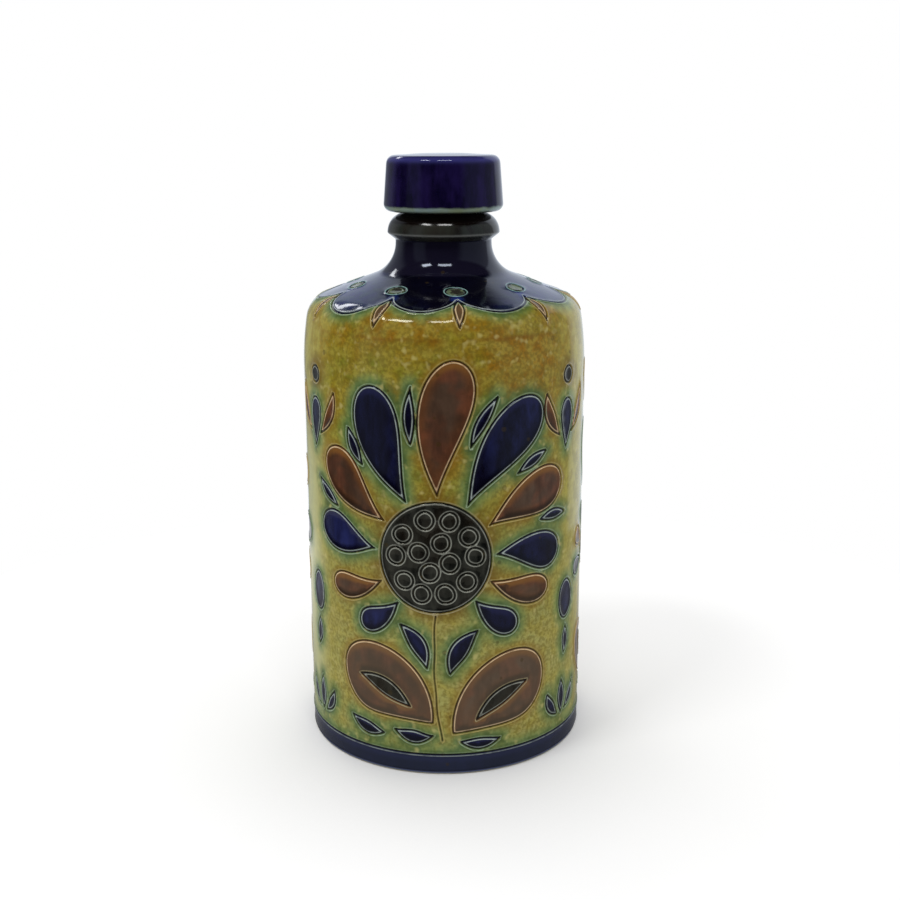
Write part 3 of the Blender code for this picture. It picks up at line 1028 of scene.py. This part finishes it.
# Lip and inside: the same salt, dark grey-olive over the lip and paler brown down the inside, with painted
# shade over the top of the lip under the cap
inner, tree, shader = new_material("lip_and_inner_glaze")
here, salt = skinned(tree, 0.010, 0.0012, 0.0024)
level = split(tree, here)[2]
inside_colour = blend_of(tree, salt["Clouds"], (120, 92, 52), (92, 76, 48))
colour = coated(
    tree,
    blend_of(tree, salt["Clouds"], (28, 27, 27), (44, 42, 38)),
    (times(tree, salt["Runs"], 0.25), (52, 62, 54)),
    # Painted shade: nearly black over the lip's top under the cap, for the cap's shadow and mirrored
    # underside
    (ease(tree, level, 0.1775, 0.1780, 0.0, 0.92), (18, 11, 10)),
    (times(tree, swell(tree, level, 0.1743, 0.00035), 0.7), (112, 114, 112)),
    (ease(tree, level, 0.165, 0.171, 1.0, 0.0), inside_colour),
)
roughness = times(tree, salt["Clouds"], 0.06, 0.08)
glazed_as(tree, shader, colour, roughness, raised(tree, salt["Peel"], 0.00001), 0.4)

# Foot: bare clay where the glaze was wiped off, sandy and matt
bare, tree, shader = new_material("bare_stoneware")
here, salt = skinned(tree, 0.012, 0.0006, 0.0018)
grit = clouds(tree, here, 0.0007, 4.0, 0.7)
colour = coated(
    tree,
    blend_of(tree, salt["Clouds"], (168, 164, 154), (146, 140, 130)),
    (times(tree, salt["Iron"], 0.7), (92, 74, 58)),
    (ease(tree, grit, 0.35, 0.65, 0.0, 0.3), (190, 186, 176)),
)
glazed_as(tree, shader, colour, ease(tree, grit, 0.2, 0.8, 0.62, 0.85), raised(tree, grit, 0.0001))

pot = turned(
    "pot",
    pot_blank,
    pot_line,
    painted,
    Groove_Depth=0.00034,
    Ridge_Height=ridge_height * MM,
    Throwing_Rings=0.00002,
    Seed=4.0,
)
pot.data.materials.append(inner)
pot.data.materials.append(bare)
lip_start = length_at(9, height=172.6)
alongs_face = np.array([alongs[list(face)].mean() for face in faces])
finish = np.where(alongs_face > lip_start, 1, np.where(alongs_face < foot_edge, 2, 0))
pot.data.polygons.foreach_set("material_index", finish.astype(np.int32))
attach(pot, "flask")
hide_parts("flask_body")


# Cap: turned from the same clay, dipped in cobalt and wiped thin at its lower edge. Its flat underside
# rests on the lip, and a socket in it holds the cork.

cap_low, cap_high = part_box("stopper_cap")
cap_under = cap_low.z / MM
cap_top = cap_high.z / MM
socket_radius = 10.5
socket_top = cap_under + 8.3

# Corners of the cap's section, from the middle of its socket outwards and over the top
cap_corners = (
    (0, socket_top, 0),
    (socket_radius, socket_top, 0.4),
    (socket_radius, cap_under, 0.5),
    (20.1, cap_under, 2.4),
    (18.7, cap_top - 0.6, 2.8),
    (14.5, cap_top - 0.45, 20),
    (8.0, cap_top - 0.05, 20),
    (0, cap_top, 0),
)


def plain_blank(name, line, columns, widest):
    """The blank of a piece without cut lines, from pole to pole."""
    rows = rows_between(line, 0, lengths(line)[-1], widest)
    inner_rows = rows[1:-1]
    ring = np.arange(columns) * 2 * math.pi / columns
    turns = np.concatenate([np.tile(ring, len(inner_rows)), [0.0, 0.0]])
    alongs = np.concatenate([np.repeat(inner_rows, columns), [0.0, rows[-1]]])
    rings = hoops(0, len(inner_rows), columns)
    faces = banded(rings) + closed_off(rings[0], rings[-1], len(inner_rows) * columns)
    return blank(name, turns, alongs * MM, faces, {"line": np.full(len(turns), reach_limit * MM)})


cap_glaze, tree, shader = new_material("cobalt_cap_glaze")
here, salt = skinned(tree, 0.012, 0.0014, 0.0024)
level = split(tree, here)[2]
thin_edge = swell(tree, level, cap_high.z - 0.0017, 0.0010)
rim_noise = times(tree, reckon(tree, "SUBTRACT", clouds(tree, here, 0.004), 0.5), 0.0012)
rim_level = reckon(tree, "ADD", level, rim_noise)
rim = ease(tree, rim_level, cap_low.z + 0.0013, cap_low.z + 0.0023, 1.0, 0.0)
# Painted shade: the underside of the cap's rim is darkened, for the shade it lies in over the lip
painted_under_rim_shade = ease(tree, level, cap_low.z + 0.0009, cap_low.z + 0.0003, 0.0, 0.85)
colour = coated(
    tree,
    blend_of(tree, salt["Clouds"], (13, 10, 30), (25, 19, 47)),
    (times(tree, salt["Runs"], 0.40), (42, 32, 80)),
    (times(tree, thin_edge, 0.60), (62, 62, 122)),
    (rim, blend_of(tree, salt["Clouds"], (122, 134, 102), (122, 142, 146))),
    (painted_under_rim_shade, (20, 14, 12)),
)
roughness = times(tree, salt["Clouds"], 0.05, 0.06)
glazed_as(tree, shader, colour, roughness, raised(tree, salt["Peel"], 0.00001), 0.28)
shader.inputs["Specular Tint"].default_value = (0.78, 0.84, 1.0, 1.0)

cap_line = section(cap_corners)
cap_blank = plain_blank("cap_blank", cap_line, 120, 1.6)
cap = turned("cap", cap_blank, cap_line, cap_glaze, Throwing_Rings=0.00004, Seed=9.0)
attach(cap, "stopper")
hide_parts("stopper_cap")


# Cork: a stopper punched from the bark of the cork oak, with its dark pores. It tapers where it enters the
# mouth, and its straight head is glued into the cap's socket.

cork_low, cork_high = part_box("stopper_cork")
cork_radius = cork_high.x / MM
cork_tip = cork_low.z / MM

# Corners of the cork's section, from its tip upwards
cork_corners = (
    (0, cork_tip, 0),
    (9.6, cork_tip, 1.0),
    (cork_radius, lip_top, 30),
    (cork_radius, cork_high.z / MM, 1.0),
    (0, cork_high.z / MM, 0),
)
bark, tree, shader = new_material("punched_cork")
here = place(tree, "ShaderNodeTexCoord").outputs["Object"]
grain = clouds(tree, here, 0.0012, 4.0, 0.65)
patches = ease(tree, clouds(tree, here, 0.005, 2.0), 0.35, 0.65)
pore = place(tree, "ShaderNodeTexVoronoi", pressed(tree, here, 2.4), 300.0)
pore_size = place(tree, "ShaderNodeSeparateColor", pore.outputs["Color"]).outputs[0]
pore_reach = ease(tree, pore_size, 0.6, 1.0, 0.0, 0.42)
pores = ease(tree, reckon(tree, "SUBTRACT", pore_reach, pore.outputs["Distance"]), 0.0, 0.1)
colour = coated(
    tree,
    blend_of(tree, patches, (184, 142, 96), (160, 114, 72)),
    (ease(tree, grain, 0.4, 0.7, 0.0, 0.5), (206, 170, 124)),
    (pores, (78, 50, 32)),
)
bumps = raised(tree, reckon(tree, "SUBTRACT", grain, pores), 0.00025)
glazed_as(tree, shader, colour, ease(tree, grain, 0.2, 0.8, 0.72, 0.92), bumps)

cork_line = section(cork_corners)
cork_blank = plain_blank("cork_blank", cork_line, 72, 1.2)
cork = turned("cork", cork_blank, cork_line, bark)
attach(cork, "stopper")
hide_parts("stopper_cork")


# Studio: a round white sheet under the flask, a white backdrop behind it, a dim room in front, two small
# lamps high in front and one small window high behind.

background_white = 1.0


def seen_white(tree):
    """One where the camera, a reflection or a look through glass meets the background."""
    rays = place(tree, "ShaderNodeLightPath").outputs
    seen = reckon(tree, "MAXIMUM", rays["Is Camera Ray"], rays["Is Glossy Ray"])
    return rays, reckon(tree, "MAXIMUM", seen, rays["Is Transmission Ray"])


sheet_radius = 0.26
paper_white = (0.80, 0.80, 0.80, 1.0)
sheet_glow = 0.14
rim_turns = np.linspace(0, 2 * math.pi, 97)[:-1]
sheet_mesh = bpy.data.meshes.new("table_sheet")
sheet_rim = [(sheet_radius * math.cos(turn), sheet_radius * math.sin(turn), 0) for turn in rim_turns]
sheet_mesh.from_pydata(sheet_rim, [], [tuple(range(len(sheet_rim)))])
sheet = added("table_sheet", sheet_mesh)
paper = bpy.data.materials.new("white_paper")
paper.use_nodes = True
tree = paper.node_tree
tree.nodes.clear()
rays, seen = seen_white(tree)
lit = place(tree, "ShaderNodeBsdfDiffuse", paper_white).outputs[0]

# The sheet's own white fades close in front of the flask, where the flask hides the backdrop from it
towards_backdrop = joined(tree, 0.0, 0.75, 0.66)
openness = place(tree, "ShaderNodeAmbientOcclusion", None, 0.088, towards_backdrop, samples=8)
sheet_white = times(tree, ease(tree, openness.outputs["AO"], 0.35, 0.97, 0.0, sheet_glow), seen)
glow = place(tree, "ShaderNodeEmission", (1.0, 1.0, 1.0, 1.0), sheet_white).outputs[0]
both = place(tree, "ShaderNodeAddShader", lit, glow).outputs[0]

# The lower part of the glaze stays dark in front, so what it mirrors of the sheet there and at the sides
# is dim
spot_x, spot_y, _ = split(tree, place(tree, "ShaderNodeTexCoord").outputs["Object"])
dim_front = ease(tree, spot_y, 0.02, 0.17, 0.70, 0.30)
dim_side = ease(tree, reckon(tree, "ABSOLUTE", spot_x), 0.12, 0.25, 0.0, 0.75)
dimmed = times(tree, rays["Is Glossy Ray"], reckon(tree, "MAXIMUM", dim_front, dim_side))
kept = reckon(tree, "SUBTRACT", 1.0, dimmed)
shown = place(tree, "ShaderNodeMixShader", kept, None, both).outputs[0]
place(tree, "ShaderNodeOutputMaterial", shown)
sheet_mesh.materials.append(paper)

# The room: its soft light comes more from behind. The glaze mirrors a white backdrop that reaches up to 42
# degrees and further round on the right, a grey wall on each side, and the dark room in front and overhead.
world = bpy.data.worlds.new("soft_room")
bpy.context.scene.world = world
world.use_nodes = True
tree = world.node_tree
tree.nodes.clear()
rays, seen = seen_white(tree)
way_x, way_y, way_z = split(tree, place(tree, "ShaderNodeTexCoord").outputs["Generated"])
flat_way = joined(tree, way_x, way_y, 0.0)
side, back, _ = split(tree, place(tree, "ShaderNodeVectorMath", flat_way, operation="NORMALIZE").outputs[0])
backdrop = ease(tree, times(tree, side, 0.355, back), 0.78, 0.90, 0.0, background_white)
near_left = times(tree, ease(tree, side, -0.62, -0.78, 0.0, 0.24), ease(tree, back, -0.35, -0.15, 1.0, 0.0))
room = reckon(tree, "MAXIMUM", backdrop, near_left)
room = reckon(tree, "MAXIMUM", room, ease(tree, back, 0.15, 0.55, 0.01, 0.32))
room = reckon(tree, "MAXIMUM", room, ease(tree, side, 0.50, 0.80, 0.01, 0.35))
room = times(tree, room, ease(tree, way_z, 0.60, 0.71, 1.0, 0.0))
mirrored = reckon(tree, "MAXIMUM", room, rays["Is Camera Ray"])
sidelong = times(tree, times(tree, way_x, way_x), 0.40)
soft_light = reckon(tree, "ADD", times(tree, way_y, 0.32, 0.735), sidelong)
strength = place(tree, "ShaderNodeMix", seen, soft_light, mirrored, data_type="FLOAT").outputs[0]
cool = blend_of(tree, rays["Is Glossy Ray"], (1.0, 1.0, 1.0, 1.0), (0.82, 0.89, 1.0, 1.0))
place(tree, "ShaderNodeOutputWorld", place(tree, "ShaderNodeBackground", cool, strength).outputs[0])

# How far off each lamp stands, and how high on the flask it is aimed
lamp_distance = 1.5
lamp_aim = 0.16


def lamp(name, bearing, height, size, brightness):
    """A lamp that faces the flask: bearing in degrees to the right of the camera, height in degrees."""
    light = bpy.data.lights.new(name, "AREA")
    light.shape = "RECTANGLE"
    light.size, light.size_y = size
    light.energy = brightness * math.pi * size[0] * size[1]
    thing = added(name, light)
    bearing, height = math.radians(bearing), math.radians(height)
    flat = math.cos(height)
    way = Vector((flat * math.sin(bearing), -flat * math.cos(bearing), math.sin(height)))
    thing.location = lamp_distance * way + Vector((0, 0, lamp_aim))
    thing.rotation_euler = way.to_track_quat("Z", "Y").to_euler()


lamp("lamp_left", -51, 55, (0.40, 0.19), 20)
lamp("lamp_front", 4, 59, (0.56, 0.19), 15)
lamp("window_left", -146, 35.6, (0.48, 0.12), 7)

# The camera stands a little above the flask's cap and looks down at it, as solved from the photograph
camera_place = (0.00190, -0.4305, 0.2086)
camera_pitch = math.radians(75.721)
camera_roll = math.radians(-0.20)
camera_data = bpy.data.cameras.new("camera")
camera_data.lens = 50.924
camera_data.sensor_width = 36.0
camera = added("camera", camera_data)
camera.location = camera_place
tilt = Matrix.Rotation(camera_pitch, 3, "X") @ Matrix.Rotation(camera_roll, 3, "Z")
camera.rotation_euler = tilt.to_euler()
bpy.context.scene.camera = camera
bpy.context.scene.view_settings.view_transform = "Standard"
